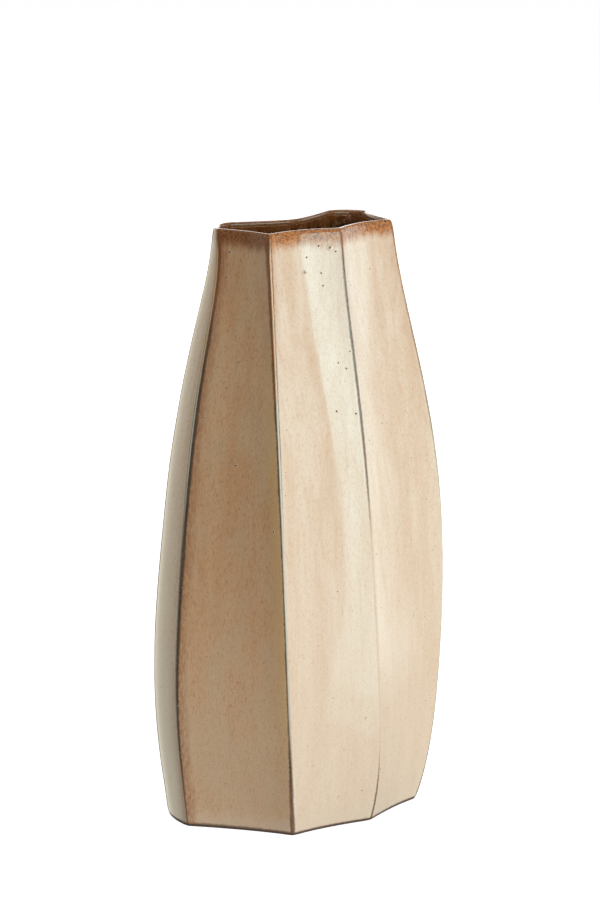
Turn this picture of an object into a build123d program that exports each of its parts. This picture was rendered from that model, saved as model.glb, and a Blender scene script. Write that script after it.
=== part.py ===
from build123d import *
import os

# A tall flattened stoneware vase, built from eight leaning clay slabs around a base slab, then glazed.
# The frame: X runs along the broad front, Y to the back, Z up, with the origin in the middle of the foot.

# Clay and glaze
height = 300.0
wall = 4.5
base_thickness = 6.0
foot_bevel = 1.2
lip_radius = 1.3
glaze_thickness = 0.45
bare_ridge = 0.75
bare_foot = 2.0
bare_lip = 2.0

# Where each ridge stands at the foot and at the rim: to the side, and behind the middle (in front of it if negative)
front_ridge_foot_side = 3.0
front_ridge_foot_depth = -45.4
front_ridge_rim_side = 0.5
front_ridge_rim_depth = -23.8

front_corner_foot_side = 39.7
front_corner_foot_depth = -36.7
front_corner_rim_side = 38.1
front_corner_rim_depth = -16.4

end_ridge_foot_side = 74.3
end_ridge_foot_depth = 5.5
end_ridge_rim_side = 48.3
end_ridge_rim_depth = 12.7

back_corner_foot_side = 48.0
back_corner_foot_depth = 40.0
back_corner_rim_side = 31.8
back_corner_rim_depth = 28.0

back_fold_foot_depth = 47.0
back_fold_rim_depth = 13.5

# How far each ridge bows out from the straight line between its foot and its rim, at even steps of height
front_ridge_swell = (0, 11.4, 12.4, 11.5, 8.7, 3.3, 0)
front_corner_swell = (0, 12.4, 17.8, 19.6, 16.0, 7.2, 0)
end_ridge_swell = (0, 9.8, 13.6, 12.8, 9.7, 1.8, 0)
back_corner_swell = (0, 8.2, 11.5, 11.5, 9.4, 5.2, 0)
back_fold_swell = (0, 11.0, 17.0, 17.5, 13.8, 7.0, 0)

# The way each ridge bows, in degrees counterclockwise from straight right, on the right half of the vase
front_ridge_heading = 270.0
front_corner_heading = 305.0
end_ridge_heading = 350.0
back_corner_heading = 80.0
back_fold_heading = 90.0

# How hollow each panel is between its ridges, as a share of its width: below zero it swells instead
front_hollow_foot = 0.03
front_hollow_rim = 0.10
end_hollow_foot = 0.02
end_hollow_rim = 0.05
round_hollow_foot = -0.235
round_hollow_rim = -0.15
back_hollow_foot = 0.01
back_hollow_rim = 0.01

# The flutes deepen slowly towards the gathered rim, and the rounded ends tighten only close to it
flute_gather = 2
round_gather = 12

# A panel's blank runs on past its ridges by this share of its width, before its mitres are cut
blank_overrun = 0.12

level_count = len(front_ridge_swell)


def mirrored(ridge):
    """The same ridge on the left half of the vase."""
    (foot_side, foot_depth), (rim_side, rim_depth), heading, swell = ridge
    return (-foot_side, foot_depth), (-rim_side, rim_depth), 180 - heading, swell


front_ridge = (
    (front_ridge_foot_side, front_ridge_foot_depth),
    (front_ridge_rim_side, front_ridge_rim_depth),
    front_ridge_heading,
    front_ridge_swell,
)
front_corner = (
    (front_corner_foot_side, front_corner_foot_depth),
    (front_corner_rim_side, front_corner_rim_depth),
    front_corner_heading,
    front_corner_swell,
)
end_ridge = (
    (end_ridge_foot_side, end_ridge_foot_depth),
    (end_ridge_rim_side, end_ridge_rim_depth),
    end_ridge_heading,
    end_ridge_swell,
)
back_corner = (
    (back_corner_foot_side, back_corner_foot_depth),
    (back_corner_rim_side, back_corner_rim_depth),
    back_corner_heading,
    back_corner_swell,
)
back_fold = (
    (0, back_fold_foot_depth),
    (0, back_fold_rim_depth),
    back_fold_heading,
    back_fold_swell,
)

# The ridges counterclockwise from the front, seen from above
ridges = [
    front_ridge,
    front_corner,
    end_ridge,
    back_corner,
    back_fold,
    mirrored(back_corner),
    mirrored(end_ridge),
    mirrored(front_corner),
]

# The panels, each from one ridge to the next, with their hollow at the foot and at the rim
front_hollow = (front_hollow_foot, front_hollow_rim, flute_gather)
end_hollow = (end_hollow_foot, end_hollow_rim, flute_gather)
round_hollow = (round_hollow_foot, round_hollow_rim, round_gather)
back_hollow = (back_hollow_foot, back_hollow_rim, flute_gather)
panels = [
    ("front_{}_right", front_hollow),
    ("right_{}_front", end_hollow),
    ("right_{}_back", round_hollow),
    ("back_{}_right", back_hollow),
    ("back_{}_left", back_hollow),
    ("left_{}_back", round_hollow),
    ("left_{}_front", end_hollow),
    ("front_{}_left", front_hollow),
]


def outward(ridge):
    """The level direction in which a ridge bows."""
    heading = ridge[2]
    return Vector(1, 0, 0).rotate(Axis.Z, heading)


def ridge_point(ridge, rise, bow, inset):
    """A ridge's place in plan at a share of the height, or a point set in from it towards the inside."""
    foot, rim, heading, swell = ridge
    straight = Vector(*foot) + (Vector(*rim) - Vector(*foot)) * rise
    return straight + outward(ridge) * (bow - inset)


def mitre_plane(ridge):
    """The plane that a whole ridge lies in, facing counterclockwise."""
    (foot_side, foot_depth), (rim_side, rim_depth), heading, swell = ridge
    lean = Vector(rim_side - foot_side, rim_depth - foot_depth, height)
    return Plane(
        origin=(foot_side, foot_depth, 0),
        x_dir=outward(ridge),
        z_dir=lean.cross(outward(ridge)),
    )


def panel_curve(number, level, inset):
    """The three points that bend a panel's outline at one level, from its first ridge to its second."""
    first = ridges[number]
    second = ridges[(number + 1) % len(ridges)]
    rise = level / (level_count - 1)
    start = ridge_point(first, rise, first[3][level], inset)
    end = ridge_point(second, rise, second[3][level], inset)
    foot_hollow, rim_hollow, gather = panels[number][1]
    hollow = foot_hollow + (rim_hollow - foot_hollow) * rise**gather
    width = end - start
    inward = Vector(-width.Y, width.X)
    middle = (start + end) * 0.5 + inward * (2 * hollow)
    return start, middle, end


def blank_curve(number, level, inset):
    """A panel's outline run on past both of its ridges along the same bend."""
    start, middle, end = panel_curve(number, level, inset)

    def along(first, second):
        """The bend's rule for a quadratic curve: its pole between two places along it."""
        from_start = start * ((1 - first) * (1 - second))
        from_middle = middle * (first * (1 - second) + second * (1 - first))
        return from_start + from_middle + end * (first * second)

    before = -blank_overrun
    after = 1 + blank_overrun
    return along(before, before), along(before, after), along(after, after)


def level_height(level):
    """How high one level lies above the foot."""
    return height * level / (level_count - 1)


def panel_section(number, level, outer_inset, inner_inset):
    """A level slice of a panel's blank, from one inset to a deeper one."""
    outer = blank_curve(number, level, outer_inset)
    inner = blank_curve(number, level, inner_inset)
    with BuildSketch(Plane.XY.offset(level_height(level))) as section:
        with BuildLine():
            Bezier(*outer)
            Line(outer[-1], inner[-1])
            Bezier(*reversed(inner))
            Line(inner[0], outer[0])
        make_face()
    return section.sketch


def panel_sections(number, outer_inset, inner_inset):
    """The slices of a whole panel, from the foot to the rim."""
    return [panel_section(number, level, outer_inset, inner_inset) for level in range(level_count)]


def whole_outline(level, inset, plan_height):
    """The plan of the whole vase at one level, set in from the ridges and laid at a height."""
    with BuildSketch(Plane.XY.offset(plan_height)) as outline:
        with BuildLine():
            for number in range(len(panels)):
                Bezier(*panel_curve(number, level, inset))
        make_face()
    return outline.sketch


def whole_sections(inset):
    """The plans of the whole vase, from the foot to the rim."""
    return [whole_outline(level, inset, level_height(level)) for level in range(level_count)]


os.makedirs("parts", exist_ok=True)
walls = []

for number, (name, hollow) in enumerate(panels):
    first_mitre = mitre_plane(ridges[number])
    second_mitre = mitre_plane(ridges[(number + 1) % len(ridges)])

    # A clay slab, mitred along its two ridges, with a rounded lip and a bevelled foot
    with BuildPart() as wall_slab:
        loft(sections=panel_sections(number, 0, wall))
        split(bisect_by=first_mitre, keep=Keep.TOP)
        split(bisect_by=second_mitre, keep=Keep.BOTTOM)
        lip_edges = wall_slab.faces().sort_by(Axis.Z)[-1].edges().sort_by(SortBy.LENGTH)[-2:]
        fillet(lip_edges, radius=lip_radius)
        foot_edges = wall_slab.faces().sort_by(Axis.Z)[0].edges().sort_by(SortBy.LENGTH)[-2:]
        chamfer(foot_edges.sort_by_distance((0, 0, 0))[-1], length=foot_bevel)
    wall_slab.part.label = name.format("wall")
    export_step(wall_slab.part, f"parts/{wall_slab.part.label}.step")
    walls.append(wall_slab.part)

    # The pale glaze on that slab's face, which breaks short of the ridges, the lip and the foot
    with BuildPart() as outer_glaze:
        loft(sections=panel_sections(number, -glaze_thickness, wall / 2))
        split(bisect_by=first_mitre.offset(bare_ridge), keep=Keep.TOP)
        split(bisect_by=second_mitre.offset(-bare_ridge), keep=Keep.BOTTOM)
        split(bisect_by=Plane.XY.offset(bare_foot), keep=Keep.TOP)
        split(bisect_by=Plane.XY.offset(height - bare_lip), keep=Keep.BOTTOM)
        add(wall_slab.part, mode=Mode.SUBTRACT)
    outer_glaze.part.label = name.format("glaze")
    export_step(outer_glaze.part, f"parts/{outer_glaze.part.label}.step")

# The base slab, set in between the feet of the walls
with BuildPart() as base_slab:
    loft(sections=[whole_outline(0, wall / 2, 0), whole_outline(0, 0, base_thickness)])
    for wall_part in walls:
        add(wall_part, mode=Mode.SUBTRACT)
base_slab.part.label = "base_slab"
export_step(base_slab.part, "parts/base_slab.step")

# The space left for water and stems
with BuildPart() as water_space:
    loft(sections=whole_sections(wall + glaze_thickness))
    split(bisect_by=Plane.XY.offset(base_thickness + glaze_thickness), keep=Keep.TOP)

# The dark liner glaze, poured over the floor and up the inside of every wall
with BuildPart() as liner_glaze:
    loft(sections=whole_sections(wall))
    split(bisect_by=Plane.XY.offset(base_thickness), keep=Keep.TOP)
    split(bisect_by=Plane.XY.offset(height - bare_lip), keep=Keep.BOTTOM)
    add(water_space.part, mode=Mode.SUBTRACT)
liner_glaze.part.label = "liner_glaze"
export_step(liner_glaze.part, "parts/liner_glaze.step")
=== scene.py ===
import math

import bmesh
import bpy
import numpy as np
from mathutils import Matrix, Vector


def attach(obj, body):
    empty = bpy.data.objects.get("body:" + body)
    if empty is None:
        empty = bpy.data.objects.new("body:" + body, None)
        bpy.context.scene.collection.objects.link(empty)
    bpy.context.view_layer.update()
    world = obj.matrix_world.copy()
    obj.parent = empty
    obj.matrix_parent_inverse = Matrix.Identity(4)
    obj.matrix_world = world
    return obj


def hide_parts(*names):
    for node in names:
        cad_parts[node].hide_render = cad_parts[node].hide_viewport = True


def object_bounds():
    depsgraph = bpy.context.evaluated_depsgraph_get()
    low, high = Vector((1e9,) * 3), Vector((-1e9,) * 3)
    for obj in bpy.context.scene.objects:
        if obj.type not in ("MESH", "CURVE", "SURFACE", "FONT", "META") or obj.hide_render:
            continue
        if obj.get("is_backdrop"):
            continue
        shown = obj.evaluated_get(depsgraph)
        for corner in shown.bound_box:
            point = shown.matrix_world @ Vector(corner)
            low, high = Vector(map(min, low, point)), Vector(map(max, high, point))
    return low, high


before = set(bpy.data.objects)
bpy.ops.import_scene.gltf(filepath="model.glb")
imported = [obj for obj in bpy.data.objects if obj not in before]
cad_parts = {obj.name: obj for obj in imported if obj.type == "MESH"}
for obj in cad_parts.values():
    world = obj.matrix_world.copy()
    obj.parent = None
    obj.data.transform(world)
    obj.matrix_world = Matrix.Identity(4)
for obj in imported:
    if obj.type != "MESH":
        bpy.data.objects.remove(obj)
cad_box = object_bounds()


# The clay walls: eight leaning slabs of dark iron-rich stoneware, rolled out, cut and luted together along
# their ridges. A slab is one upright profile swept from ridge to ridge, and each ridge bows in one plane.
# Almost all of the clay is under glaze, and a thin dark line of it shows round the foot.
height = 0.300
unevenness = 0.0005
pinch_reach = 0.008
wall_columns = 32
column_crowding = 0.9
seam_gap = 0.000004
sliver = 0.000002

# Each ridge: its place at the foot, its place at the rim, the way it bows, and how far at seven even levels
front_ridge = ((0.0030, -0.0454), (0.0005, -0.0238), 270, (0, 11.4, 12.4, 11.5, 8.7, 3.3, 0))
front_corner = ((0.0397, -0.0367), (0.0381, -0.0164), 305, (0, 12.4, 17.8, 19.6, 16.0, 7.2, 0))
end_ridge = ((0.0743, 0.0055), (0.0483, 0.0127), 350, (0, 9.8, 13.6, 12.8, 9.7, 1.8, 0))
back_corner = ((0.0480, 0.0400), (0.0318, 0.0280), 80, (0, 8.2, 11.5, 11.5, 9.4, 5.2, 0))
back_fold = ((0.0, 0.0470), (0.0, 0.0135), 90, (0, 11.0, 17.0, 17.5, 13.8, 7.0, 0))

# How hollow a panel is at the foot and at the rim, as a share of its width, and how late it changes
front_hollow = (0.03, 0.10, 2)
end_hollow = (0.02, 0.05, 2)
round_hollow = (-0.235, -0.15, 12)
back_hollow = (0.01, 0.01, 2)


def mirrored(ridge):
    """The same ridge on the left half of the vase."""
    foot, rim, heading, swell = ridge
    return (-foot[0], foot[1]), (-rim[0], rim[1]), 180 - heading, swell


ridges = [
    front_ridge,
    front_corner,
    end_ridge,
    back_corner,
    back_fold,
    mirrored(back_corner),
    mirrored(end_ridge),
    mirrored(front_corner),
]
panel_names = [
    "front_{}_right",
    "right_{}_front",
    "right_{}_back",
    "back_{}_right",
    "back_{}_left",
    "left_{}_back",
    "left_{}_front",
    "front_{}_left",
]
panel_hollows = [
    front_hollow,
    end_hollow,
    round_hollow,
    back_hollow,
    back_hollow,
    round_hollow,
    end_hollow,
    front_hollow,
]
level_rises = np.linspace(0, 1, 7)

# How wide each ridge is rounded off at the foot and at the rim, and how far it is pinched up again
ridge_arrises = [
    (0.0014, 0.0014),
    (0.0008, 0.0008),
    (0.0010, 0.0010),
    (0.0014, 0.0014),
    (0.0014, 0.0060),
    (0.0014, 0.0014),
    (0.0010, 0.0010),
    (0.0008, 0.0008),
]
ridge_pinches = [0.0, 1.0, 0.1, 0.0, 0.0, 0.0, 0.1, 1.0]

# Which ridges keep a pale crest between dark sides, partly glaze and partly a painted highlight: the end
# ridges (1) and the front corners (2)
ridge_ranks = [0.0, 2.0, 1.0, 0.0, 0.0, 0.0, 1.0, 2.0]


def outward(ridge):
    """The level direction in which a ridge bows."""
    heading = math.radians(ridge[2])
    return np.array([math.cos(heading), math.sin(heading)])


def ridge_levels(ridge):
    """A ridge's places in plan at the seven levels."""
    foot, rim, heading, swell = ridge
    straight = np.outer(1 - level_rises, foot) + np.outer(level_rises, rim)
    return straight + np.outer(np.array(swell) / 1000, outward(ridge))


def quarter_turned(plan):
    """Directions in plan, turned a quarter counterclockwise."""
    return np.stack([-plan[:, 1], plan[:, 0]], axis=1)


def smooth_line(levels):
    """The curve of one sweep through its seven levels."""
    return np.polyfit(level_rises, levels, len(level_rises) - 1)


def panel_lines(number):
    """The lines that bend a panel, first ridge, middle and second ridge, and the way each is set in."""
    first = ridges[number]
    second = ridges[(number + 1) % len(ridges)]
    foot_hollow, rim_hollow, gather = panel_hollows[number]
    hollow = foot_hollow + (rim_hollow - foot_hollow) * level_rises[:, None] ** gather
    start = ridge_levels(first)
    end = ridge_levels(second)
    middle = (start + end) / 2 + quarter_turned(end - start) * 2 * hollow
    start_way = np.tile(-outward(first), (len(level_rises), 1))
    end_way = np.tile(-outward(second), (len(level_rises), 1))
    middle_way = (start_way + end_way) / 2 + quarter_turned(end_way - start_way) * 2 * hollow
    lines = [smooth_line(levels) for levels in (start, middle, end)]
    ways = [smooth_line(levels) for levels in (start_way, middle_way, end_way)]
    return lines, ways


def along(line, rise):
    """Places in plan on a smooth line at shares of the height."""
    return np.stack([np.polyval(line[:, axis], rise) for axis in (0, 1)], axis=1)


def ridge_slope(number, at_end, rise):
    """How steeply a panel falls away from one of its ridges."""
    lines, ways = panel_lines(number)
    ridge = ridges[(number + at_end) % len(ridges)]
    leaving = along(lines[1], rise) - along(lines[2 * at_end], rise)
    fall = leaving @ outward(ridge)
    run = np.abs(leaving[:, 0] * outward(ridge)[1] - leaving[:, 1] * outward(ridge)[0])
    return -fall / run


def even_slope(ridge_number, rise):
    """The mean slope of the two panels that meet at a ridge."""
    before = ridge_slope((ridge_number - 1) % len(ridges), 1, rise)
    after = ridge_slope(ridge_number, 0, rise)
    return (before + after) / 2


def dense(corners, longest):
    """A profile given in millimetres, turned to metres and with no step longer than the given one."""
    profile = [corners[0]]
    for before, after in zip(corners, corners[1:]):
        steps = max(1, math.ceil(math.dist(before, after) / longest))
        for step in range(1, steps + 1):
            share = step / steps
            profile.append(tuple(b + (a - b) * share for b, a in zip(before, after)))
    return np.array(profile) / 1000


def guide_mesh(number, profile, extras):
    """The three bending lines of a panel, one point for each place on a profile of insets and heights."""
    inset = profile[:, :1]
    rise = profile[:, 1] / height
    lines, ways = panel_lines(number)
    rows = len(profile)
    points = np.zeros((3, rows, 3))
    for place in range(3):
        points[place, :, :2] = along(lines[place], rise) + along(ways[place], rise) * inset
        points[place, :, 2] = profile[:, 1]
    mesh = bpy.data.meshes.new("guide lines")
    mesh.from_pydata([tuple(p) for p in points.reshape(-1, 3)], [], [])
    first = ridges[number]
    second = ridges[(number + 1) % len(ridges)]
    headings = np.zeros((3, rows, 3))
    headings[0, :, :2] = outward(first)
    headings[2, :, :2] = outward(second)
    slopes = np.zeros((3, rows))
    slopes[0] = ridge_slope(number, 0, rise)
    slopes[2] = ridge_slope(number, 1, rise)
    evened = np.zeros((3, rows))
    evened[0] = even_slope(number, rise)
    evened[2] = even_slope((number + 1) % len(ridges), rise)
    arrises = np.zeros((3, rows))
    pinches = np.zeros((3, rows))
    ranks = np.zeros((3, rows))
    for place, ridge_number in ((0, number), (2, (number + 1) % len(ridges))):
        arrises[place] = np.interp(rise, (0, 1), ridge_arrises[ridge_number])
        pinches[place] = ridge_pinches[ridge_number]
        ranks[place] = ridge_ranks[ridge_number]
    heading_layer = mesh.attributes.new("heading", "FLOAT_VECTOR", "POINT")
    heading_layer.data.foreach_set("vector", headings.astype(np.float32).ravel())
    numbers = {"slope": slopes, "evened": evened, "arris": arrises, "pinch": pinches, "rank": ranks}
    for name, values in extras.items():
        numbers[name] = np.broadcast_to(values, (3, rows))
    for name, values in numbers.items():
        layer = mesh.attributes.new(name, "FLOAT", "POINT")
        layer.data.foreach_set("value", values.astype(np.float32).ravel())
    return mesh


class Wire:
    """A value on its way through a node tree, so that a tree can be written as arithmetic."""

    def __init__(self, tree, socket):
        self.tree = tree
        self.socket = socket

    def __add__(self, other):
        return combined(self.tree, "ADD", self, other)

    def __radd__(self, other):
        return combined(self.tree, "ADD", other, self)

    def __sub__(self, other):
        return combined(self.tree, "SUBTRACT", self, other)

    def __rsub__(self, other):
        return combined(self.tree, "SUBTRACT", other, self)

    def __mul__(self, other):
        return combined(self.tree, "MULTIPLY", self, other)

    def __rmul__(self, other):
        return combined(self.tree, "MULTIPLY", other, self)

    def __truediv__(self, other):
        return combined(self.tree, "DIVIDE", self, other)


def feed(tree, socket, value):
    """Links a wire to a socket, or sets the socket to a plain value."""
    if isinstance(value, Wire):
        tree.links.new(value.socket, socket)
    elif socket.type == "VECTOR" and isinstance(value, (int, float)):
        socket.default_value = (value, value, value)
    elif value is not None:
        socket.default_value = value


def placed(tree, kind, *values, give=0, **settings):
    """Adds a node with its settings and its open inputs in order, and gives one of its open outputs."""
    node = tree.nodes.new(kind)
    for name, value in settings.items():
        setattr(node, name, value)
    sockets = [socket for socket in node.inputs if not socket.is_unavailable]
    for socket, value in zip(sockets, values):
        feed(tree, socket, value)
    outputs = [socket for socket in node.outputs if not socket.is_unavailable]
    return Wire(tree, outputs[give])


def combined(tree, operation, first, second):
    """Arithmetic on two numbers, or on directions where either is one."""
    directed = False
    for value in (first, second):
        if isinstance(value, tuple):
            directed = True
        if isinstance(value, Wire) and value.socket.type == "VECTOR":
            directed = True
    kind = "ShaderNodeVectorMath" if directed else "ShaderNodeMath"
    return placed(tree, kind, first, second, operation=operation)


def worked(operation, *values):
    """One step of arithmetic on numbers."""
    tree = next(value.tree for value in values if isinstance(value, Wire))
    return placed(tree, "ShaderNodeMath", *values, operation=operation)


def sweep_tree():
    """Geometry nodes that sweep a profile between two ridges, round them off and note where they are."""
    tree = bpy.data.node_groups.new("panel between ridges", "GeometryNodeTree")
    tree.interface.new_socket("Guide lines", in_out="INPUT", socket_type="NodeSocketGeometry")
    tree.interface.new_socket("Columns", in_out="INPUT", socket_type="NodeSocketInt")
    tree.interface.new_socket("Pinch reach", in_out="INPUT", socket_type="NodeSocketFloat")
    tree.interface.new_socket("Unevenness", in_out="INPUT", socket_type="NodeSocketFloat")
    tree.interface.new_socket("Tone", in_out="INPUT", socket_type="NodeSocketFloat")
    tree.interface.new_socket("Material", in_out="INPUT", socket_type="NodeSocketMaterial")
    tree.interface.new_socket("Panel", in_out="OUTPUT", socket_type="NodeSocketGeometry")
    given = tree.nodes.new("NodeGroupInput")
    guides, columns, pinch_reach, unevenness, tone, material = [
        Wire(tree, socket) for socket in given.outputs[:6]
    ]

    # The grid, with its columns crowded towards the ridges
    points = placed(tree, "GeometryNodeAttributeDomainSize", guides, component="MESH")
    rows = points / 3
    grid = placed(tree, "GeometryNodeMeshGrid", 1, 1, columns, rows)
    flat = tree.nodes.new("ShaderNodeSeparateXYZ")
    position = placed(tree, "GeometryNodeInputPosition")
    feed(tree, flat.inputs[0], position)
    even = Wire(tree, flat.outputs[0]) + 0.5
    crowding = worked("SINE", even * math.tau)
    across = even - crowding * (column_crowding / math.tau)
    row = worked("ROUND", (Wire(tree, flat.outputs[1]) + 0.5) * (rows - 1))

    def sampled(name, line, kind):
        """One of the guide lines' values in this row."""
        if name == "position":
            value = position
        else:
            value = placed(tree, "GeometryNodeInputNamedAttribute", name, data_type=kind)
        index = row + rows * line
        return placed(tree, "GeometryNodeSampleIndex", guides, value, index, data_type=kind)

    start = sampled("position", 0, "FLOAT_VECTOR")
    middle = sampled("position", 1, "FLOAT_VECTOR")
    end = sampled("position", 2, "FLOAT_VECTOR")
    back = 1 - across
    place = start * (back * back) + middle * (across * back * 2) + end * (across * across)

    # Each ridge is rounded into an arris that both of its panels share, and may be pinched up again
    gaps = []
    sharps = []
    shift = None
    for line, corner, nearness in ((0, start, back), (2, end, across)):
        heading = sampled("heading", line, "FLOAT_VECTOR")
        slope = sampled("slope", line, "FLOAT")
        evened = sampled("evened", line, "FLOAT")
        arris = sampled("arris", line, "FLOAT")
        pinch = sampled("pinch", line, "FLOAT")
        crossed = placed(tree, "ShaderNodeVectorMath", heading, place - corner, operation="CROSS_PRODUCT")
        gap = placed(tree, "ShaderNodeVectorMath", crossed, operation="LENGTH")
        rounded = worked("SQRT", gap * gap + arris * arris) - gap
        near = gap / (arris * 1.5)
        matched = worked("EXPONENT", near * near * -1) * (evened - slope) * arris
        far = gap / pinch_reach
        pinched = worked("EXPONENT", far * far * -1) * evened * arris * pinch
        moved = heading * ((pinched - slope * rounded - matched) * nearness)
        shift = moved if shift is None else shift + moved
        gaps.append(gap)
        sharps.append(evened * 2)

    # A slab rolled and beaten by hand is slightly wavy between its ridges
    waves = placed(tree, "ShaderNodeTexNoise", place + (0.31, 0.17, 0.05), 26.0, 1.0, 0.45)
    wobble = sampled("wobble", 0, "FLOAT")
    sideways = end - start
    turned = placed(tree, "ShaderNodeVectorMath", sideways, (0, 0, 1), operation="CROSS_PRODUCT")
    facing = placed(tree, "ShaderNodeVectorMath", turned, operation="NORMALIZE")
    inside_ridges = worked("MINIMUM", across * back * 8, 1)
    uneven = facing * ((waves - 0.8) * wobble * unevenness * inside_ridges)

    # What the glaze needs to know: the nearer ridge, its line and sharpness, the lip and the panel's tone
    nearer = worked("LESS_THAN", gaps[0], gaps[1])

    def at_nearer(first, second):
        """The value that belongs to the nearer of the two ridges."""
        return second + (first - second) * nearer

    notes = {
        "ridge_gap": worked("MINIMUM", gaps[0], gaps[1]),
        "ridge_sharp": at_nearer(sharps[0], sharps[1]),
        "ridge_line": at_nearer(sampled("line", 0, "FLOAT"), sampled("line", 2, "FLOAT")),
        "ridge_rank": at_nearer(sampled("rank", 0, "FLOAT"), sampled("rank", 2, "FLOAT")),
        "lip_gap": sampled("lip_gap", 0, "FLOAT"),
        "shown": sampled("shown", 0, "FLOAT"),
        "tone": tone,
    }
    panel = grid
    for name, value in notes.items():
        panel = placed(tree, "GeometryNodeStoreNamedAttribute", panel, None, name, value, data_type="FLOAT")
    panel = placed(tree, "GeometryNodeSetPosition", panel, None, place + shift + uneven)
    panel = placed(tree, "GeometryNodeSetShadeSmooth", panel)
    panel = placed(tree, "GeometryNodeRealizeInstances", panel)
    panel = placed(tree, "GeometryNodeSetMaterial", panel, None, material)
    given_out = tree.nodes.new("NodeGroupOutput")
    feed(tree, given_out.inputs[0], panel)
    return tree


panel_tree = sweep_tree()


def grown_mesh(name, tree, start, sizes):
    """The plain mesh that a geometry tree makes of a starting mesh and its sizes."""
    bench = bpy.data.objects.new(name, start)
    bpy.context.scene.collection.objects.link(bench)
    modifier = bench.modifiers.new(name, "NODES")
    modifier.node_group = tree
    for item in tree.interface.items_tree:
        if item.in_out == "INPUT" and item.name in sizes:
            modifier[item.identifier] = sizes[item.name]
    depsgraph = bpy.context.evaluated_depsgraph_get()
    mesh = bpy.data.meshes.new_from_object(
        bench.evaluated_get(depsgraph), preserve_all_data_layers=True, depsgraph=depsgraph
    )
    bench.modifiers.clear()
    bpy.data.objects.remove(bench)
    bpy.data.meshes.remove(start)
    return mesh


def closed_piece(name, meshes):
    """One closed piece from swept panels: seams merged, open ends filled, faces outwards."""
    shell = bmesh.new()
    for mesh in meshes:
        shell.from_mesh(mesh)
    bmesh.ops.remove_doubles(shell, verts=shell.verts, dist=seam_gap)
    bmesh.ops.dissolve_degenerate(shell, edges=shell.edges, dist=sliver)
    open_edges = [edge for edge in shell.edges if edge.is_boundary]
    filled = bmesh.ops.holes_fill(shell, edges=open_edges, sides=0)
    bmesh.ops.triangulate(shell, faces=filled["faces"])
    bmesh.ops.recalc_face_normals(shell, faces=shell.faces)
    for face in shell.faces:
        face.smooth = True
    piece_mesh = bpy.data.meshes.new(name)
    shell.to_mesh(piece_mesh)
    shell.free()
    for material in meshes[0].materials:
        piece_mesh.materials.append(material)
    for mesh in meshes:
        bpy.data.meshes.remove(mesh)
    piece = bpy.data.objects.new(name, piece_mesh)
    bpy.context.scene.collection.objects.link(piece)
    return piece


def surface(name):
    """A new material with an empty tree, its shader and its object coordinates."""
    material = bpy.data.materials.new(name)
    material.use_nodes = True
    tree = material.node_tree
    tree.nodes.clear()
    shader = tree.nodes.new("ShaderNodeBsdfPrincipled")
    output = tree.nodes.new("ShaderNodeOutputMaterial")
    tree.links.new(shader.outputs[0], output.inputs[0])
    where = tree.nodes.new("ShaderNodeTexCoord")
    return material, tree, shader, Wire(tree, where.outputs["Object"])


def noise(place, scale, detail=2.0, roughness=0.5):
    """Soft noise from 0 to 1 at a place."""
    return placed(place.tree, "ShaderNodeTexNoise", place, scale, detail, roughness)


def fade(value, low, high, start=0.0, stop=1.0):
    """A smooth step from one value to another as a wire goes from low to high."""
    return placed(
        value.tree, "ShaderNodeMapRange", value, low, high, start, stop, interpolation_type="SMOOTHSTEP"
    )


def blended(share, first, second):
    """One colour turning into another."""
    colours = []
    for colour in (first, second):
        colours.append(colour if isinstance(colour, Wire) else (*colour, 1.0))
    return placed(share.tree, "ShaderNodeMix", share, *colours, data_type="RGBA")


def bumped(tree, shader, relief, depth):
    """Gives a shader fine relief of a depth in metres."""
    bump = tree.nodes.new("ShaderNodeBump")
    bump.inputs["Distance"].default_value = depth
    feed(tree, bump.inputs["Height"], relief)
    tree.links.new(bump.outputs[0], shader.inputs["Normal"])


clay, tree, shader, place = surface("dark stoneware clay")
grog = noise(place, 1400, 3)
cloud = noise(place, 90, 3)
body = blended(cloud, (0.050, 0.032, 0.022), (0.105, 0.060, 0.036))
gritty = fade(grog, 0.58, 0.72)
feed(tree, shader.inputs["Base Color"], blended(gritty * 0.6, body, (0.20, 0.13, 0.085)))
feed(tree, shader.inputs["Roughness"], 0.62 + cloud * 0.25)
bumped(tree, shader, grog, 0.00012)

wall_profile = dense(
    [
        (4.5, 0.0),
        (0.5, 0.0),
        (0.22, 0.12),
        (0.06, 0.35),
        (0.0, 0.7),
        (0.0, 290.0),
        (0.1, 294.0),
        (0.35, 296.6),
        (0.9, 298.2),
        (1.6, 298.9),
        (2.4, 298.9),
        (3.0, 298.4),
        (3.4, 297.6),
        (3.7, 296.0),
        (4.2, 291.5),
        (4.5, 287.0),
        (4.5, 0.0),
    ],
    5.0,
)

wave_foot = 0.020
wave_lip = 0.288
wave_fade = 0.030


def waviness(level):
    """How freely a panel waves at a height: not at all at the foot and the lip."""
    return np.clip(np.minimum(level / wave_foot, (wave_lip - level) / wave_fade), 0, 1)


outer_inset = 0.002
wall_wobble = waviness(wall_profile[:, 1]) * (wall_profile[:, 0] < outer_inset)
wall_notes = {"wobble": wall_wobble, "lip_gap": 0.0, "line": 0.0, "shown": 0.0}
for number, panel_name in enumerate(panel_names):
    node = panel_name.format("wall")
    guides = guide_mesh(number, wall_profile, wall_notes)
    sizes = {
        "Columns": wall_columns,
        "Pinch reach": pinch_reach,
        "Unevenness": unevenness,
        "Material": clay,
    }
    slab = closed_piece(node + "_slab", [grown_mesh(node, panel_tree, guides, sizes)])
    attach(slab, "root")
    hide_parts(node)


# The base slab: the floor of the vase, a flat slab of the same clay set in between the feet of the walls.
# Its CAD solid has the right shape, so it stays and takes the clay's surface.
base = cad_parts["base_slab"]
base.data.materials.clear()
base.data.materials.append(clay)


# The liner: a dark brown glossy glaze, poured in, swilled round and poured out before firing.
# It covers the floor and the whole inside in one closed coat and thins to rust just under the lip.
liner_columns = 28

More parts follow.
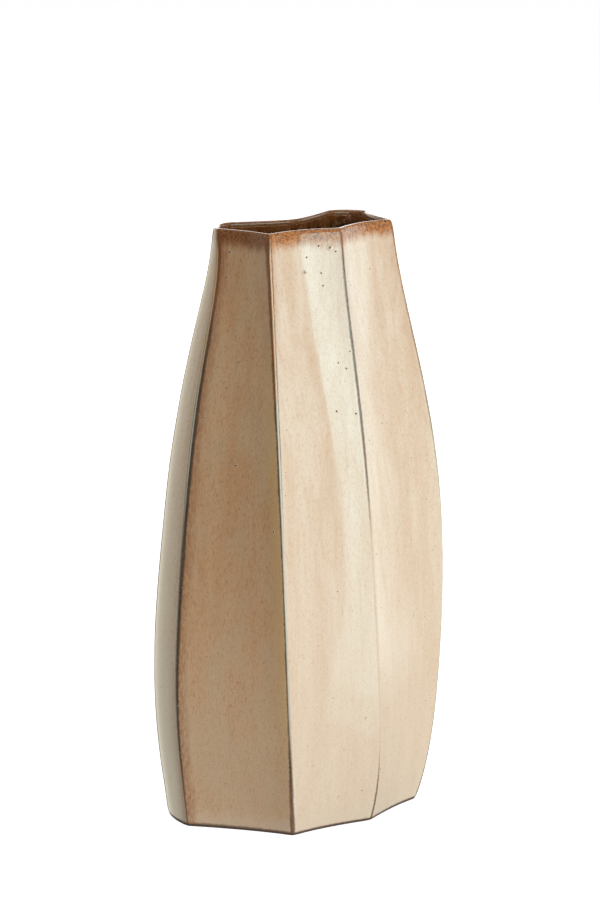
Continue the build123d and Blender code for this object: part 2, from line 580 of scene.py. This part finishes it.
liner_profile = dense(
    [
        (16.0, 6.45),
        (11.0, 6.45),
        (8.2, 6.8),
        (6.4, 7.8),
        (5.4, 9.4),
        (4.95, 12.0),
        (4.95, 284.5),
        (4.85, 286.5),
        (3.78, 296.4),
        (3.68, 297.2),
        (3.58, 297.55),
        (3.45, 297.6),
        (3.40, 297.3),
        (3.7, 296.0),
        (4.2, 291.5),
        (4.5, 287.0),
        (4.5, 6.0),
        (11.0, 6.0),
        (16.0, 6.0),
    ],
    4.0,
)


def level_of(place):
    """How high a place is above the foot."""
    split = place.tree.nodes.new("ShaderNodeSeparateXYZ")
    feed(place.tree, split.inputs[0], place)
    return Wire(place.tree, split.outputs[2])


liner, tree, shader, place = surface("dark brown liner glaze")
drips = noise(place * (1.0, 1.0, 0.30), 150, 4, 0.62)
mottle = noise(place * (1.0, 1.0, 0.7), 480, 4, 0.62)
depth = blended(fade(drips, 0.38, 0.62), (0.018, 0.009, 0.004), (0.150, 0.072, 0.028))
warm = blended(fade(mottle, 0.48, 0.66) * 0.75, depth, (0.32, 0.180, 0.075))
near_lip = fade(level_of(place) + (drips - 0.5) * 0.016, 0.2870, 0.2975)
feed(tree, shader.inputs["Base Color"], blended(near_lip * 0.75, warm, (0.25, 0.085, 0.022)))
feed(tree, shader.inputs["Roughness"], fade(mottle, 0.3, 0.7, 0.10, 0.30))
shader.inputs["IOR"].default_value = 1.54
shader.inputs["Specular Tint"].default_value = (1.0, 0.78, 0.55, 1.0)
bumped(tree, shader, mottle * 0.3 + drips, 0.0006)

liner_notes = {"wobble": 0.0, "lip_gap": 0.0, "line": 0.0, "shown": 0.0}
liner_panels = []
for number in range(len(panel_names)):
    guides = guide_mesh(number, liner_profile, liner_notes)
    sizes = {"Columns": liner_columns, "Pinch reach": pinch_reach, "Material": liner}
    liner_panels.append(grown_mesh("liner", panel_tree, guides, sizes))
liner_coat = closed_piece("liner_glaze_coat", liner_panels)
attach(liner_coat, "root")
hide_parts("liner_glaze")


# The pale glaze: a creamy reactive coat on each facet, dipped thick, which breaks dark over every sharp
# ridge and burns to speckled rust round the lip. It laps over the lip and stops just short of the foot.
coat_columns = 60
lip_turn = 0.0013
lowest_hole = 0.008
highest_hole = 0.288

face_corners = [
    (0.0, 1.4),
    (-0.14, 1.5),
    (-0.27, 1.8),
    (-0.36, 2.3),
    (-0.42, 3.3),
    (-0.45, 5.3),
    (-0.45, 289.5),
    (-0.40, 292.5),
    (-0.30, 294.6),
    (-0.12, 296.5),
    (0.15, 298.0),
    (0.5, 299.0),
    (0.95, 299.55),
    (1.5, 299.78),
    (2.2, 299.8),
    (2.7, 299.62),
    (3.1, 299.3),
    (3.38, 298.9),
    (3.52, 298.5),
    (3.58, 298.0),
    (3.62, 297.3),
]
under_corners = [
    (3.42, 297.05),
    (3.0, 298.4),
    (2.4, 298.9),
    (1.6, 298.9),
    (0.9, 298.2),
    (0.35, 296.6),
    (0.1, 294.0),
    (0.0, 290.0),
    (0.0, 1.4),
]
face_profile = dense(face_corners, 2.0)
under_profile = dense(under_corners, 6.0)
coat_profile = np.concatenate([face_profile, under_profile])
on_face = np.arange(len(coat_profile)) < len(face_profile)
coat_inset = coat_profile[:, 0]
coat_level = coat_profile[:, 1]
coat_wobble = waviness(coat_level)
coat_shown = on_face * (coat_level > lowest_hole) * (coat_level < highest_hole)
coat_lip_gap = np.where(coat_inset < lip_turn, height - coat_level, lip_turn - coat_inset)

# How far the glaze breaks from each ridge, on its front side and on its back side, in millimetres by level
front_ridge_break = [(0.70, 0.15, 0.15, 0.19, 0.76, 0.85, 0.60)] * 2
front_corner_break = [
    (1.00, 0.40, 0.30, 0.35, 0.75, 0.85, 0.90),
    (1.40, 1.00, 0.95, 0.95, 1.15, 1.60, 1.80),
]
end_ridge_break = [
    (0.50, 0.95, 1.40, 1.85, 2.00, 2.00, 1.80),
    (0.30, 0.40, 0.50, 0.60, 0.70, 0.70, 0.60),
]
back_corner_break = [(0.60, 0.50, 0.50, 0.55, 0.60, 0.70, 0.80)] * 2
back_fold_break = [(0.70, 0.50, 0.40, 0.40, 0.40, 0.40, 0.40)] * 2
ridge_breaks = [
    front_ridge_break,
    front_corner_break,
    end_ridge_break,
    back_corner_break,
    back_fold_break,
    back_corner_break,
    end_ridge_break,
    front_corner_break,
]

pale, tree, shader, place = surface("pale reactive glaze")


def note(tree, name):
    """A value that the sweep noted on the piece."""
    node = tree.nodes.new("ShaderNodeAttribute")
    node.attribute_name = name
    return Wire(tree, node.outputs["Fac"])


ridge_gap = note(tree, "ridge_gap")
ridge_line = note(tree, "ridge_line")
ridge_sharp = fade(note(tree, "ridge_sharp"), 0.12, 0.50)
ridge_rank = note(tree, "ridge_rank")
lip_gap = note(tree, "lip_gap")
tone = note(tree, "tone")
level = level_of(place)

# Streaks that ran down in the firing, from broad veils to fine dashes and grains, fainter towards the foot
veil = noise(place * (1.0, 1.0, 0.07), 95, 3, 0.55)
drift = noise(place * (1.0, 1.0, 0.45) + (0.2, 0.5, 0.9), 60, 3, 0.6)
streak = noise(place * (1.0, 1.0, 0.08), 420, 3, 0.6)
dashes = noise(place * (1.0, 1.0, 0.30), 1700, 2, 0.6)
red_dashes = noise(place * (1.0, 1.0, 0.26) + (0.7, 0.3, 0.1), 1250, 3, 0.62)
grain = noise(place * (1.0, 1.0, 0.8), 2400, 2, 0.6)
run_down = fade(level, 0.03, 0.20, 0.35, 1.0)
veiled = 0.5 + (fade(veil, 0.34, 0.66) - 0.5) * run_down
cream = blended(veiled, (0.722, 0.580, 0.422), (0.782, 0.676, 0.524))
# The thin coat's browner colour, which each panel takes as far as its tone. On the left front panel it is
# partly painted shade.
thin_coat_and_shade = blended(veiled, (0.668, 0.388, 0.195), (0.725, 0.462, 0.250))
thin_coat_and_shade = blended(fade(drift, 0.36, 0.62, 0.8, 0.0), thin_coat_and_shade, (0.668, 0.462, 0.268))
# Low on the wall the thin coat turns paler: a painted lift of light on the lower wall.
thin_coat_and_shade = blended(fade(level, 0.02, 0.16, 0.25, 0.0), thin_coat_and_shade, cream)
colour = blended(tone, cream, thin_coat_and_shade)
colour = blended(fade(streak, 0.45, 0.75) * run_down * (0.22 + tone * 0.10), colour, (0.60, 0.32, 0.16))
colour = blended(fade(dashes, 0.52, 0.70) * run_down * (0.24 + tone * 0.26), colour, (0.38, 0.19, 0.085))
patches = fade(drift, 0.40, 0.60, 0.35, 1.0)
red_share = fade(red_dashes, 0.53, 0.68) * patches * (0.11 + tone * 0.39)
colour = blended(red_share, colour, (0.46, 0.172, 0.070))
grain_share = fade(grain, 0.54, 0.68) * (0.34 - run_down * 0.14 + tone * 0.16)
colour = blended(grain_share, colour, (0.34, 0.19, 0.095))

# Thicker and paler where the glaze ran down to the foot, with a thin brown edge
ragged = noise(place * (1.0, 1.0, 0.16), 520, 4, 0.65)
pooled = fade(level + (streak - 0.5) * 0.006, 0.003, 0.013, 1.0, 0.0)
colour = blended(pooled * 0.35, colour, (0.74, 0.63, 0.48))
foot_edge = fade(level - tone * 0.0004 + (ragged - 0.5) * 0.0012, 0.0015, 0.0026, 1.0, 0.0)
colour = blended(foot_edge * 0.75, colour, (0.160, 0.080, 0.040))

# Flecks of iron from the clay
cells = tree.nodes.new("ShaderNodeTexVoronoi")
feed(tree, cells.inputs["Vector"], place * (1.0, 1.0, 0.6))
cells.inputs["Scale"].default_value = 330
cell_chance = tree.nodes.new("ShaderNodeSeparateColor")
feed(tree, cell_chance.inputs[0], Wire(tree, cells.outputs["Color"]))
chance = Wire(tree, cell_chance.outputs[0])
fleck_radius = fade(chance, 0.70, 1.0, 0.03, 0.09)
flecks = fade(Wire(tree, cells.outputs["Distance"]) - fleck_radius, -0.03, 0.03, 1.0, 0.0)
flecks = flecks * fade(chance, 0.68, 0.72)
colour = blended(flecks * 0.55, colour, (0.22, 0.105, 0.050))

# Beside the ridges a thin coat turns ochre along the front corners and streaky red along the end ridges,
# every coat turns rusty near the top, and a thick coat piles into a pale bead. The ochre band is partly
# real ochre and partly painted light, pale and wide to lift the shade in the hollow beside the front
# corner.
top_heavy = fade(level, 0.17, 0.29)
on_corner = fade(ridge_rank, 1.2, 1.8)
on_end = fade(ridge_rank, 0.2, 0.8) - on_corner
beside = ridge_gap - ridge_line
ochre_and_painted_light = fade(beside + (ragged - 0.5) * 0.004, 0.0010, 0.0080, 1.0, 0.0) * on_corner * tone
ochre_and_painted_light = ochre_and_painted_light * fade(level, 0.02, 0.09) * fade(level, 0.20, 0.27, 1.0, 0.0)
colour = blended(ochre_and_painted_light * 0.60, colour, (0.72, 0.470, 0.205))
halo = fade(beside + (ragged - 0.5) * 0.006, 0.0002, 0.0060, 1.0, 0.0) * ridge_sharp
halo_strength = top_heavy * 0.26 + tone * on_end * fade(red_dashes, 0.38, 0.60, 0.45, 0.95)
colour = blended(halo * halo_strength, colour, (0.43, 0.205, 0.098))
bead = fade(beside, 0.0001, 0.0005) * fade(beside, 0.0006, 0.0016, 1.0, 0.0)
bead_strength = fade(level, 0.225, 0.265, 0.35, 0.0) * fade(ridge_line, 0.0003, 0.0006)
colour = blended(bead * ridge_sharp * (1.0 - tone) * bead_strength, colour, (0.78, 0.72, 0.60))

# Speckled rust round the lip, with dark grains in its upper half, darker inside and where the coat is thin;
# on the left front panel this darkening is partly painted shade
lip_reach = lip_gap - tone * 0.0012 + (ragged - 0.5) * 0.0060 + (drift - 0.5) * 0.0060
lip_edge = fade(lip_reach, 0.0038, 0.0100, 1.0, 0.0)
rust_mottle = noise(place, 900, 3, 0.65)
rust = blended(fade(rust_mottle, 0.36, 0.60), (0.25, 0.074, 0.014), (0.54, 0.205, 0.045))
rust = blended(tone * 0.50, rust, (0.125, 0.034, 0.006))
burnt_grains = noise(place * (1.0, 1.0, 0.5), 1300, 2, 0.6)
burnt = fade(burnt_grains, 0.54, 0.62) * fade(lip_gap, 0.0015, 0.0068, 0.85, 0.0)
rust = blended(burnt, rust, (0.040, 0.017, 0.008))
rust = blended(fade(lip_gap, -0.0018, -0.0002, 0.4, 0.0), rust, (0.090, 0.034, 0.012))
colour = blended(lip_edge * 0.92, colour, rust)

# The line where glaze breaks over a ridge: rusty at the top, grainy and dark below, reddish at the foot
worn = noise(place * (1.0, 1.0, 0.35), 240, 4, 0.65)
grains = noise(place * (1.0, 1.0, 0.6), 1100, 3, 0.65)
line_edge = ridge_gap - ridge_line * (0.45 + worn * 1.1) + (grains - 0.5) * 0.0013
line_strength = fade(ridge_line, 0.00010, 0.00050, 0.12, 1.0) * ridge_sharp * fade(lip_gap, 0.0010, 0.0040)
line = fade(line_edge, -0.00045, 0.00055, 1.0, 0.0) * line_strength
dark_line = blended(fade(worn, 0.35, 0.65), (0.045, 0.030, 0.018), (0.115, 0.080, 0.048))
dark_share = worked("MAXIMUM", fade(ridge_line, 0.0009, 0.0014), tone)
dark_line = blended(dark_share, (0.215, 0.175, 0.125), dark_line)
rust_reach = on_corner * (0.018 + tone * 0.047) + on_end * tone * 0.025
rusty = fade(level + rust_reach, 0.278, 0.295)
dark_line = blended(rusty, dark_line, (0.240, 0.080, 0.016))
dark_line = blended(fade(level, 0.018, 0.040, 1.0, 0.0), dark_line, (0.215, 0.105, 0.062))
grain_dark = fade(grains, 0.50, 0.60) * (0.70 - rusty * 0.35)
dark_line = blended(grain_dark, dark_line, (0.035, 0.022, 0.013))
colour = blended(line * 0.92, colour, dark_line)

# Between its dark sides the crest of a corner or an end ridge keeps a thin pale skin, partly real glaze and
# partly a painted highlight along the rounded crest, pale orange near the top
skin_and_highlight_reach = on_corner * fade(level, 0.035, 0.075) + on_end * fade(level, 0.140, 0.190)
crest_skin_and_highlight = fade(ridge_gap + (grains - 0.5) * 0.0004, 0.00025, 0.00060, 1.0, 0.0)
crest_skin_and_highlight = crest_skin_and_highlight * skin_and_highlight_reach * fade(lip_gap, 0.004, 0.012)
crest_and_highlight_colour = blended(fade(level, 0.205, 0.245), (0.64, 0.605, 0.495), (0.76, 0.48, 0.25))
colour = blended(crest_skin_and_highlight * 0.85, colour, crest_and_highlight_colour)

feed(tree, shader.inputs["Base Color"], colour)
feed(tree, shader.inputs["Roughness"], fade(line * 0.3 + lip_edge * 0.5, 0.0, 1.0, 0.06, 0.20))
shader.inputs["IOR"].default_value = 1.54
bumped(tree, shader, streak * 0.25 + grain * 0.1 + ragged * 0.15, 0.00006)

# Each panel's tone, from a thick cream coat (0) to a thin brown one (1). The left front panel's full tone
# is partly a real thinner coat and partly painted shade, for its side turned away from the key light.
coat_tones_and_painted_shade = {
    "front_{}_right": 0.05,
    "right_{}_front": 0.50,
    "right_{}_back": 0.25,
    "back_{}_right": 0.30,
    "back_{}_left": 0.20,
    "left_{}_back": 0.25,
    "left_{}_front": 1.00,
    "front_{}_left": 0.05,
}
coats = []
for number, panel_name in enumerate(panel_names):
    node = panel_name.format("glaze")
    rise = coat_level / height
    on_left = number >= len(panel_names) // 2
    first_break = ridge_breaks[number][0 if on_left else 1]
    second_break = ridge_breaks[(number + 1) % len(ridges)][1 if on_left else 0]
    lines = np.zeros((3, len(coat_profile)))
    lines[0] = np.interp(rise, level_rises, first_break) / 1000
    lines[2] = np.interp(rise, level_rises, second_break) / 1000
    notes = {"wobble": coat_wobble, "lip_gap": coat_lip_gap, "line": lines, "shown": coat_shown}
    sizes = {
        "Columns": coat_columns,
        "Pinch reach": pinch_reach,
        "Unevenness": unevenness,
        "Tone": coat_tones_and_painted_shade[panel_name],
        "Material": pale,
    }
    guides = guide_mesh(number, coat_profile, notes)
    coat = closed_piece(node + "_coat", [grown_mesh(node, panel_tree, guides, sizes)])
    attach(coat, "root")
    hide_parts(node)
    coats.append(coat)


# The pinholes: in the firing, gas left the clay through the melting glaze. Each hole healed to a low pale
# ring round a dark dimple, and two under the lip are larger burst bubbles. They lie on the pale coat.
hole_density = 2300
smallest_hole = 0.00022
largest_hole = 0.00048
burst_size = 0.0010
hole_seed = 11

# Rings of radius one: how far out, how high and how dark, from the dimple to the skirt under the surface
pinhole_rows = [
    (0.40, 0.04, 1.0),
    (0.58, 0.05, 1.0),
    (0.70, 0.13, 0.1),
    (0.85, 0.10, 0.0),
    (1.0, -0.02, 0.0),
]
burst_rows = [
    (0.14, 0.00, 1.0),
    (0.26, 0.03, 1.0),
    (0.40, 0.11, 0.2),
    (0.62, 0.22, 0.0),
    (0.84, 0.14, 0.0),
    (1.0, -0.02, 0.0),
]
ring_sides = 10


def ring_shape(name, rows):
    """A closed ring on a bench of its own, each point noting how dark it is."""
    places = [(0.0, 0.0, rows[0][1] - 0.01)]
    darkness = [1.0]
    for far, high, dark in rows:
        for side in range(ring_sides):
            turn = math.tau * side / ring_sides
            places.append((far * math.cos(turn), far * math.sin(turn), high))
            darkness.append(dark)
    faces = []
    for side in range(ring_sides):
        after = (side + 1) % ring_sides
        faces.append((0, 1 + side, 1 + after))
        for row in range(len(rows) - 1):
            near = 1 + row * ring_sides
            far = near + ring_sides
            faces.append((near + side, far + side, far + after, near + after))
    last_row = 1 + (len(rows) - 1) * ring_sides
    faces.append(tuple(last_row + side for side in reversed(range(ring_sides))))
    mesh = bpy.data.meshes.new(name)
    mesh.from_pydata(places, [], faces)
    mesh.attributes.new("dimple", "FLOAT", "POINT").data.foreach_set("value", darkness)
    shape = bpy.data.objects.new(name, mesh)
    bpy.context.scene.collection.objects.link(shape)
    return shape


pinhole_ring = ring_shape("pinhole ring", pinhole_rows)
burst_ring = ring_shape("burst ring", burst_rows)

# The holes that stand out: the panel, how far across it, and the height and ring radius in millimetres
clear_holes = [
    (7, 0.83, 291, 1.7),
    (7, 0.50, 280, 1.4),
    (7, 0.70, 292, 0.7),
    (7, 0.54, 287, 0.6),
    (7, 0.71, 279, 0.6),
    (7, 0.72, 273, 0.6),
    (7, 0.90, 289, 0.6),
    (7, 0.95, 241, 0.6),
    (7, 0.81, 236, 0.6),
    (7, 0.89, 233, 0.6),
    (7, 0.74, 213, 0.7),
    (7, 0.94, 211, 0.7),
    (6, 0.22, 289, 0.8),
    (6, 0.18, 277, 0.8),
    (6, 0.47, 238, 0.6),
    (6, 0.12, 210, 0.6),
    (6, 0.50, 189, 0.7),
    (6, 0.90, 160, 0.7),
]
hole_standoff = 0.0015
hole_places = []
hole_radii = []
for number, across, up, radius in clear_holes:
    rise = np.array([up / 1000 / height])
    lines, ways = panel_lines(number)
    start, middle, end = [
        along(line, rise)[0] - along(way, rise)[0] * hole_standoff for line, way in zip(lines, ways)
    ]
    plan = start * (1 - across) ** 2 + middle * 2 * across * (1 - across) + end * across**2
    hole_places.append((plan[0], plan[1], up / 1000))
    hole_radii.append(radius / 1000)
hole_mesh = bpy.data.meshes.new("clear holes")
hole_mesh.from_pydata(hole_places, [], [])
hole_mesh.attributes.new("ring_size", "FLOAT", "POINT").data.foreach_set("value", hole_radii)
clear = bpy.data.objects.new("clear holes", hole_mesh)
bpy.context.scene.collection.objects.link(clear)


def pinhole_tree():
    """Geometry nodes that set rings on the coats: the clear ones, and many small ones at random."""
    tree = bpy.data.node_groups.new("pinholes on the glaze", "GeometryNodeTree")
    tree.interface.new_socket("Coats", in_out="INPUT", socket_type="NodeSocketGeometry")
    tree.interface.new_socket("Pinhole ring", in_out="INPUT", socket_type="NodeSocketObject")
    tree.interface.new_socket("Burst ring", in_out="INPUT", socket_type="NodeSocketObject")
    tree.interface.new_socket("Clear holes", in_out="INPUT", socket_type="NodeSocketObject")
    tree.interface.new_socket("Burst size", in_out="INPUT", socket_type="NodeSocketFloat")
    tree.interface.new_socket("Density", in_out="INPUT", socket_type="NodeSocketFloat")
    tree.interface.new_socket("Smallest", in_out="INPUT", socket_type="NodeSocketFloat")
    tree.interface.new_socket("Largest", in_out="INPUT", socket_type="NodeSocketFloat")
    tree.interface.new_socket("Seed", in_out="INPUT", socket_type="NodeSocketInt")
    tree.interface.new_socket("Material", in_out="INPUT", socket_type="NodeSocketMaterial")
    tree.interface.new_socket("Pinholes", in_out="OUTPUT", socket_type="NodeSocketGeometry")
    given = tree.nodes.new("NodeGroupInput")
    coats, pinhole, burst, clear, burst_from, density, smallest, largest, seed, material = [
        Wire(tree, socket) for socket in given.outputs[:10]
    ]

    def shape_of(thing):
        """The mesh of an object that is given to the tree."""
        info = tree.nodes.new("GeometryNodeObjectInfo")
        feed(tree, info.inputs["Object"], thing)
        return Wire(tree, info.outputs["Geometry"])

    pinhole_shape = shape_of(pinhole)
    burst_shape = shape_of(burst)
    clear_points = placed(tree, "GeometryNodeMeshToPoints", shape_of(clear))
    position = placed(tree, "GeometryNodeInputPosition")
    facing = placed(tree, "GeometryNodeInputNormal")

    # Many small holes anywhere on the faces that show
    scatter = tree.nodes.new("GeometryNodeDistributePointsOnFaces")
    shown = placed(tree, "GeometryNodeInputNamedAttribute", "shown", data_type="FLOAT")
    feed(tree, scatter.inputs["Mesh"], coats)
    feed(tree, scatter.inputs["Selection"], worked("GREATER_THAN", shown, 0.5))
    feed(tree, scatter.inputs["Density"], density)
    feed(tree, scatter.inputs["Seed"], seed)
    scattered = Wire(tree, scatter.outputs["Points"])
    turned = Wire(tree, scatter.outputs["Rotation"])
    size = placed(tree, "FunctionNodeRandomValue", smallest, largest, None, seed, data_type="FLOAT")
    small_rings = placed(
        tree, "GeometryNodeInstanceOnPoints", scattered, None, pinhole_shape, None, None, turned, size
    )

    # The clear ones, each brought to the nearest face
    nearest_place = placed(
        tree, "GeometryNodeSampleNearestSurface", coats, position, None, position, data_type="FLOAT_VECTOR"
    )
    nearest_facing = placed(
        tree, "GeometryNodeSampleNearestSurface", coats, facing, None, position, data_type="FLOAT_VECTOR"
    )
    upright = placed(tree, "FunctionNodeAlignRotationToVector", None, None, nearest_facing, axis="Z")
    clear_points = placed(
        tree,
        "GeometryNodeStoreNamedAttribute",
        clear_points,
        None,
        "upright",
        upright,
        data_type="QUATERNION",
    )
    clear_points = placed(tree, "GeometryNodeSetPosition", clear_points, None, nearest_place)
    clear_upright = placed(tree, "GeometryNodeInputNamedAttribute", "upright", data_type="QUATERNION")
    clear_size = placed(tree, "GeometryNodeInputNamedAttribute", "ring_size", data_type="FLOAT")
    is_burst = worked("GREATER_THAN", clear_size, burst_from)

    together = tree.nodes.new("GeometryNodeJoinGeometry")
    feed(tree, together.inputs[0], small_rings)
    for chosen, shape in ((is_burst, burst_shape), (1 - is_burst, pinhole_shape)):
        rings = placed(
            tree,
            "GeometryNodeInstanceOnPoints",
            clear_points,
            chosen,
            shape,
            None,
            None,
            clear_upright,
            clear_size,
        )
        feed(tree, together.inputs[0], rings)
    rings = placed(tree, "GeometryNodeRealizeInstances", Wire(tree, together.outputs[0]))
    rings = placed(tree, "GeometryNodeSetShadeSmooth", rings)
    rings = placed(tree, "GeometryNodeSetMaterial", rings, None, material)
    given_out = tree.nodes.new("NodeGroupOutput")
    feed(tree, given_out.inputs[0], rings)
    return tree


healed, tree, shader, place = surface("healed pinholes")
dimple = note(tree, "dimple")
ring_mottle = noise(place, 900, 3)
ring_colour = blended(fade(ring_mottle, 0.40, 0.65), (0.70, 0.55, 0.39), (0.84, 0.76, 0.63))
feed(tree, shader.inputs["Base Color"], blended(dimple, ring_colour, (0.070, 0.036, 0.014)))
feed(tree, shader.inputs["Roughness"], fade(dimple, 0.0, 1.0, 0.35, 0.85))
shader.inputs["IOR"].default_value = 1.25
shader.inputs["Specular Tint"].default_value = (1.0, 0.85, 0.65, 1.0)

all_coats = bmesh.new()
for coat in coats:
    all_coats.from_mesh(coat.data)
coat_faces = bpy.data.meshes.new("coat faces")
all_coats.to_mesh(coat_faces)
all_coats.free()
hole_sizes = {
    "Pinhole ring": pinhole_ring,
    "Burst ring": burst_ring,
    "Clear holes": clear,
    "Burst size": burst_size,
    "Density": hole_density,
    "Smallest": smallest_hole,
    "Largest": largest_hole,
    "Seed": hole_seed,
    "Material": healed,
}
pinhole_mesh = grown_mesh("pinholes", pinhole_tree(), coat_faces, hole_sizes)
for pattern in (pinhole_ring, burst_ring, clear):
    bpy.data.objects.remove(pattern)
pinholes = bpy.data.objects.new("glaze_pinholes", pinhole_mesh)
bpy.context.scene.collection.objects.link(pinholes)
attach(pinholes, "root")


# The floor: a wide plain white sweep under soft studio light. A tall window of light stands right of the
# camera, a strip behind the camera and a side light further right. The lip and the far edges catch white
# backdrops, a rim light and an overhead light.
floor_radius = 20
floor_sides = 64
floor_glow = 0.80
room_brightness = 0.22

floor_mesh = bpy.data.meshes.new("floor")
floor_edge = []
for side in range(floor_sides):
    turn = math.tau * side / floor_sides
    floor_edge.append((floor_radius * math.cos(turn), floor_radius * math.sin(turn), 0.0))
floor_mesh.from_pydata(floor_edge, [], [tuple(range(floor_sides))])
floor = bpy.data.objects.new("floor", floor_mesh)
bpy.context.scene.collection.objects.link(floor)
paper, tree, shader, place = surface("white paper")
feed(tree, shader.inputs["Base Color"], blended(noise(place, 3, 2), (0.86, 0.86, 0.86), (0.88, 0.88, 0.88)))
shader.inputs["Roughness"].default_value = 0.9
shader.inputs["Emission Color"].default_value = (1.0, 1.0, 1.0, 1.0)
shader.inputs["Emission Strength"].default_value = floor_glow
floor_mesh.materials.append(paper)
floor.visible_diffuse = False
floor.visible_glossy = False
floor.visible_shadow = False
floor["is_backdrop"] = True

world = bpy.data.worlds.new("studio")
world.use_nodes = True
world.node_tree.nodes["Background"].inputs[0].default_value = (1.0, 1.0, 1.0, 1.0)
world.node_tree.nodes["Background"].inputs[1].default_value = room_brightness
bpy.context.scene.world = world


def soft_light(name, first, last, distance, low, high, brightness):
    """An upright soft light between two headings seen from the vase, so many times as bright as paper."""
    half_span = math.radians(last - first) / 2
    lamp = bpy.data.lights.new(name, "AREA")
    lamp.shape = "RECTANGLE"
    lamp.size = 2 * distance * math.tan(half_span)
    lamp.size_y = high - low
    lamp.energy = brightness * math.pi * lamp.size * lamp.size_y
    light = bpy.data.objects.new(name, lamp)
    turn = math.radians(first + last) / 2
    light.location = (distance * math.cos(turn), distance * math.sin(turn), (low + high) / 2)
    light.rotation_euler = (math.radians(90), 0.0, turn + math.radians(90))
    light.visible_camera = False
    bpy.context.scene.collection.objects.link(light)
    return light


key = soft_light("key", 252, 300, 1.3, -0.55, 1.0, 3.52)
key.visible_glossy = False
for layer, low in enumerate((-0.46, -0.30, 0.05, 0.25)):
    window = soft_light("window", 244, 290, 1.30 + layer * 0.02, low, 1.0, 1.05)
    window.visible_diffuse = False
    window.data.color = (0.55, 0.95, 1.0)
strip = soft_light("strip", 219, 243, 1.3, -0.30, 0.6, 5.0)
strip.visible_diffuse = False
for layer in range(4):
    side = soft_light("side", 319 + layer * 4, 362, 1.40 + layer * 0.02, -0.38 + layer * 0.04, 0.9, 0.5)
    side.visible_diffuse = False
    side.data.color = (0.75, 0.96, 1.0)
for layer in range(4):
    backdrop = soft_light("backdrop", 78, 122 + layer * 11, 1.80 + layer * 0.02, -1.2, 1.4, 0.28)
    backdrop.data.color = (0.98, 1.0, 0.86)
soft_light("high backdrop", 20, 78, 1.9, 0.15, 1.4, 1.0)
rim_light = soft_light("rim light", 25, 75, 1.8, 0.35, 1.0, 2.2)
rim_light.visible_diffuse = False
overhead = soft_light("overhead", -15, 15, 1.6, -0.5, 0.5, 2.2)
overhead.location = (0.0, 0.3, 1.6)
overhead.rotation_euler = (0.0, 0.0, 0.0)


# The camera: where the photograph was taken from, a little above the vase and round to its left.
eye = bpy.data.cameras.new("camera")
eye.lens = 100.35
eye.sensor_width = 36.0
eye.clip_end = 100.0
camera = bpy.data.objects.new("camera", eye)
camera.location = (-0.7547, -0.9581, 0.4919)
camera.rotation_euler = (math.radians(75.87), 0.0, math.radians(-37.98))
bpy.context.scene.collection.objects.link(camera)
bpy.context.scene.camera = camera

bpy.context.scene.view_settings.view_transform = "Standard"

sizes = {
    "cad": [list(corner) for corner in cad_box],
    "visual": [list(corner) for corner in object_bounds()],
}
